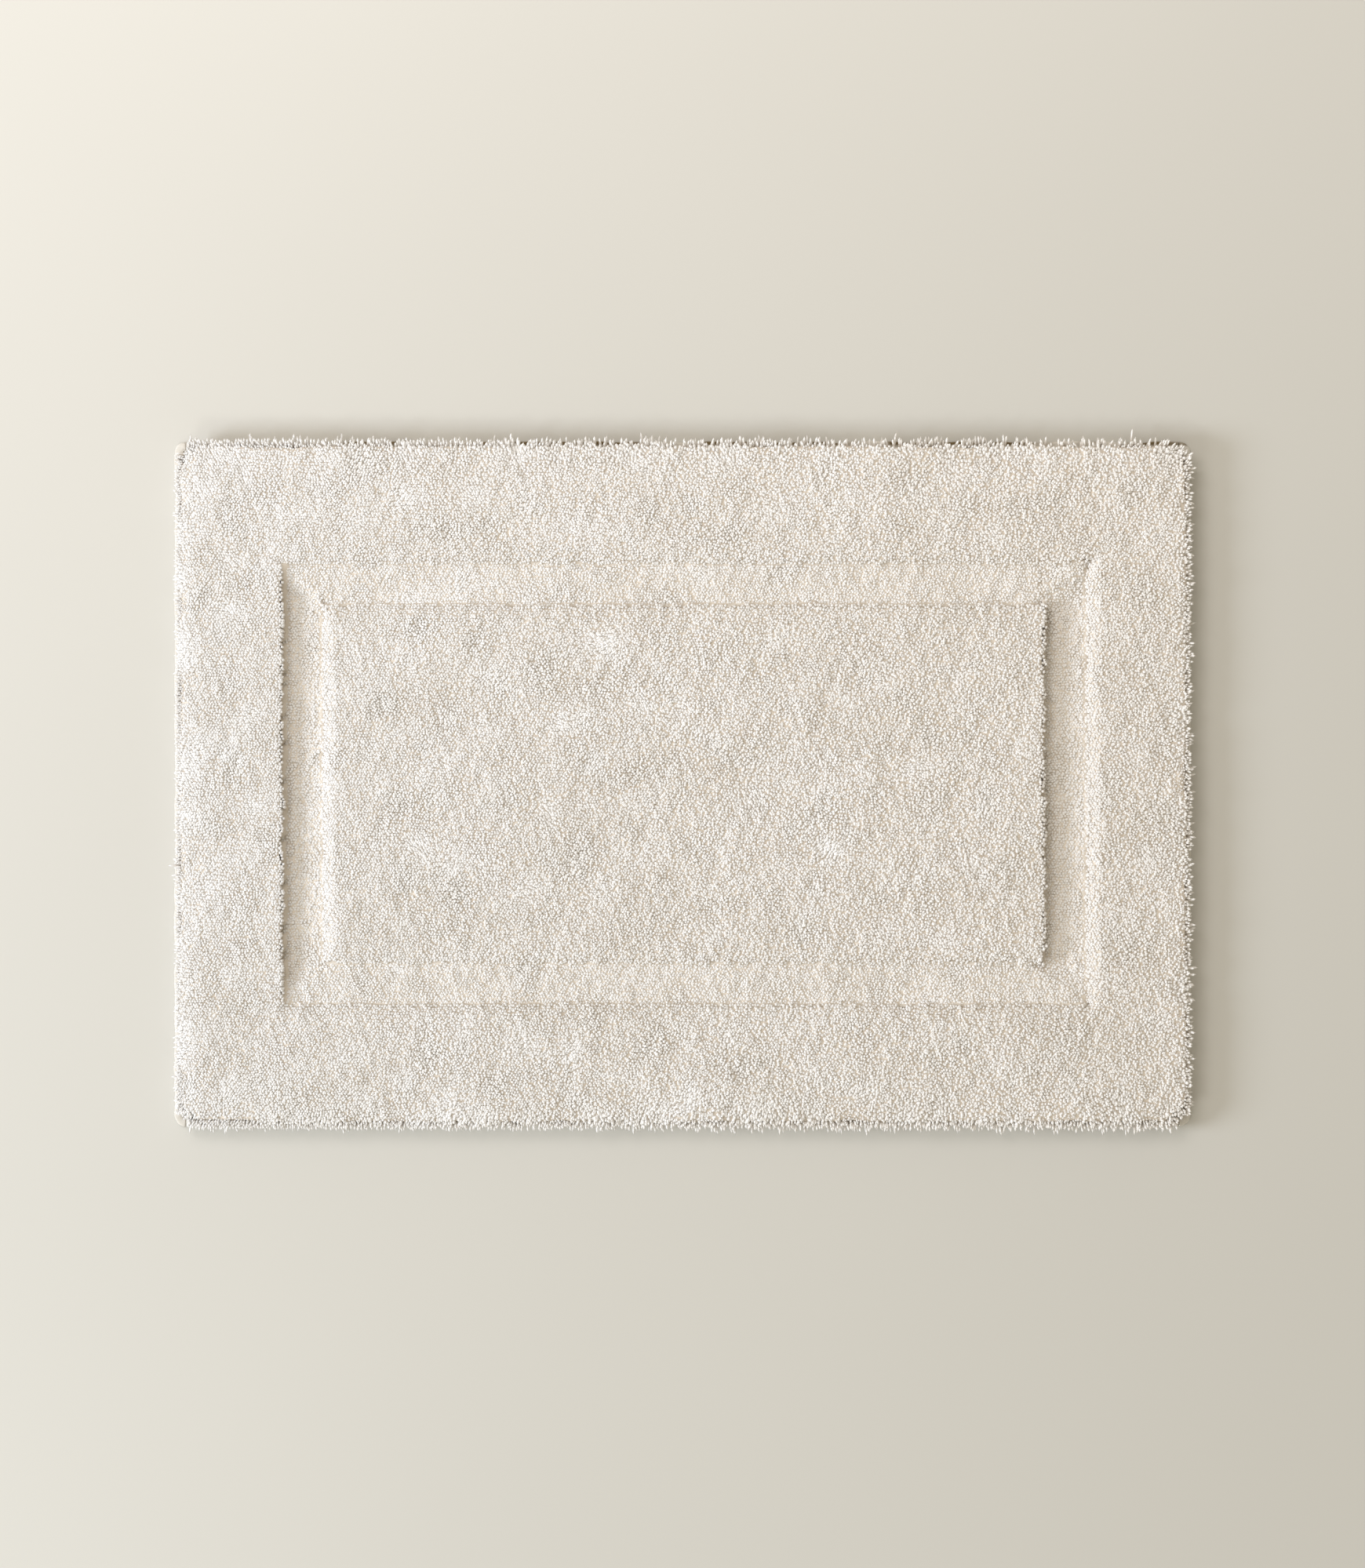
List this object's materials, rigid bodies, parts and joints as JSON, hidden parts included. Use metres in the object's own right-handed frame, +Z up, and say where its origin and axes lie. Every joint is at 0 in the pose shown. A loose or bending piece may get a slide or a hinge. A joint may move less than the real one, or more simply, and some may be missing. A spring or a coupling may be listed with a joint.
{
  "type": "bath mat",
  "caption": "Rectangular tufted cotton bath mat: deep cut pile with a sheared rectangular channel, folded cotton hem and latex-coated underside.",
  "frame": {"origin": "centre of the underside, on the floor", "axes": "+Z up from the floor through the pile, +X along the long side, +Y towards the back edge"},
  "size_m": [0.76, 0.512, 0.0197],
  "materials": {
    "pile": "matt cut-pile cotton yarn, off-white",
    "base_cloth": "plain-woven undyed cotton",
    "latex": "thin tan latex film, satin, dimpled by the back stitches",
    "hem_tape": "fine-woven cotton tape, matt",
    "thread": "twisted cotton sewing thread"
  },
  "bodies": {
    "root": {"base_cloth": "base_cloth", "latex_coat": "latex", "hem_left": "hem_tape", "hem_right": "hem_tape", "hem_front": "hem_tape", "hem_back": "hem_tape", "hem_seam_left": "thread", "hem_seam_right": "thread", "hem_seam_front": "thread", "hem_seam_back": "thread", "border_pile_left": "pile", "border_pile_right": "pile", "border_pile_front": "pile", "border_pile_back": "pile", "channel_pile_left": "pile", "channel_pile_right": "pile", "channel_pile_front": "pile", "channel_pile_back": "pile", "field_pile": "pile"}
  },
  "joints": []
}
